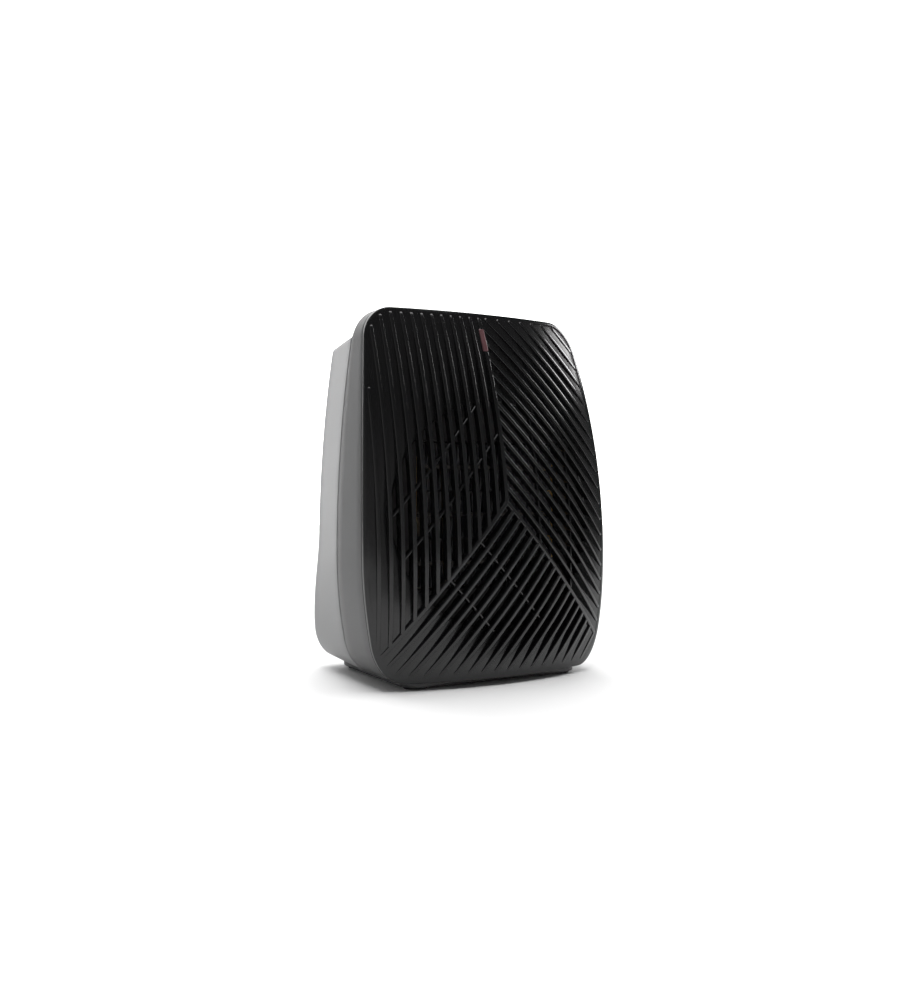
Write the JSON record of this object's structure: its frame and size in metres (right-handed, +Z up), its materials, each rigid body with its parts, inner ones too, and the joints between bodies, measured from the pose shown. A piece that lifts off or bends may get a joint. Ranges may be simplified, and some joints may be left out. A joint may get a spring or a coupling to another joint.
{
  "type": "ceramic space heater",
  "caption": "Upright personal ceramic fan heater with a bowed three-way ribbed front, tapered rear shell, top control knobs and a tip-over switch.",
  "frame": {"origin": "on the floor under the middle of the body's box", "axes": "+X to the right seen from the front, +Y to the back, +Z up; the air blows out towards -Y"},
  "size_m": [0.2088, 0.1518, 0.2768],
  "materials": {
    "gloss_front": "gloss black moulded plastic",
    "bezel_grey": "satin mid-grey moulded plastic",
    "shell_grey": "light grey plastic with a fine texture",
    "dark_plastic": "black plastic with a fine texture",
    "rubber": "soft black rubber",
    "red_lens": "tinted translucent red plastic",
    "lamp_glow": "small orange neon lamp",
    "circuit_board": "green fibre-glass board",
    "knob_black": "satin black moulded plastic",
    "steel": "zinc-plated steel",
    "dark_steel": "oiled laminated steel",
    "pale_nylon": "natural nylon",
    "ceramic": "sintered ceramic",
    "heat_plastic": "glass-filled heat-resistant plastic",
    "copper": "enamelled copper wire",
    "bronze": "sintered bronze",
    "aluminium": "bare aluminium fins",
    "brass": "stamped brass"
  },
  "bodies": {
    "housing": {"front_grille": "gloss_front", "front_bezel": "bezel_grey", "rear_housing": "shell_grey", "rear_intake_grille": "dark_plastic", "base_plate": "bezel_grey", "foot_front_left": "rubber", "foot_front_right": "rubber", "foot_rear_left": "rubber", "foot_rear_right": "rubber", "power_light_lens": "red_lens", "power_lamp": "lamp_glow", "lamp_board": "circuit_board", "mode_switch_body": "pale_nylon", "thermostat_body": "ceramic", "fan_shroud": "heat_plastic", "stator_core": "dark_steel", "coil_bobbin": "pale_nylon", "coil_winding": "copper", "motor_front_plate": "steel", "front_bearing": "bronze", "rear_bearing": "bronze", "motor_bracket": "dark_steel", "motor_screw_1": "steel", "motor_screw_2": "steel", "heater_frame": "heat_plastic", "ptc_bar_1": "ceramic", "ptc_bar_2": "ceramic", "ptc_bar_3": "ceramic", "heat_fin_1": "aluminium", "heat_fin_2": "aluminium", "heat_fin_3": "aluminium", "heat_fin_4": "aluminium", "heat_fin_5": "aluminium", "heat_fin_6": "aluminium", "element_terminal_left": "brass", "element_terminal_right": "brass", "thermal_cutout": "steel", "thermal_fuse": "pale_nylon", "tip_spring": "steel", "tip_switch_bracket": "steel", "tip_switch_body": "dark_plastic", "terminal_block": "pale_nylon", "cable_gland": "rubber", "housing_screw_1": "steel", "housing_screw_2": "steel", "housing_screw_3": "steel", "housing_screw_4": "steel"},
    "fan": {"fan_impeller": "heat_plastic", "impeller_nut": "steel", "rotor_core": "dark_steel", "motor_shaft": "steel"},
    "mode_control": {"mode_knob": "knob_black", "mode_spindle": "steel"},
    "thermostat_control": {"thermostat_knob": "knob_black", "thermostat_spindle": "steel"},
    "tip_button": {"tip_plunger": "pale_nylon"},
    "tip_lever": {"tip_switch_lever": "steel"}
  },
  "joints": [
    {"name": "fan_spin", "type": "hinge", "parent": "housing", "child": "fan", "pos_m": [0, 0, 0.124], "axis": [0, 1, 0], "continuous": true},
    {"name": "mode_knob_turn", "type": "hinge", "parent": "housing", "child": "mode_control", "pos_m": [-0.036, 0.03, 0.257], "axis": [0, 0, -1], "range_deg": [0, 135]},
    {"name": "thermostat_knob_turn", "type": "hinge", "parent": "housing", "child": "thermostat_control", "pos_m": [0.036, 0.03, 0.257], "axis": [0, 0, -1], "range_deg": [0, 270]},
    {"name": "tip_button_slide", "type": "slide", "parent": "housing", "child": "tip_button", "axis": [0, 0, 1], "range_m": [-0.005, 0], "stiffness_N_per_m": 60, "springref_m": -0.007, "deforming": ["tip_spring"]},
    {"name": "tip_lever_swing", "type": "hinge", "parent": "housing", "child": "tip_lever", "pos_m": [0.074, 0.024, 0.0394], "axis": [0, -1, 0], "range_deg": [0, 22]}
  ],
  "couplings": [
    {"joint": "tip_lever_swing", "follows": "tip_button_slide", "rad_per_m": -76}
  ]
}
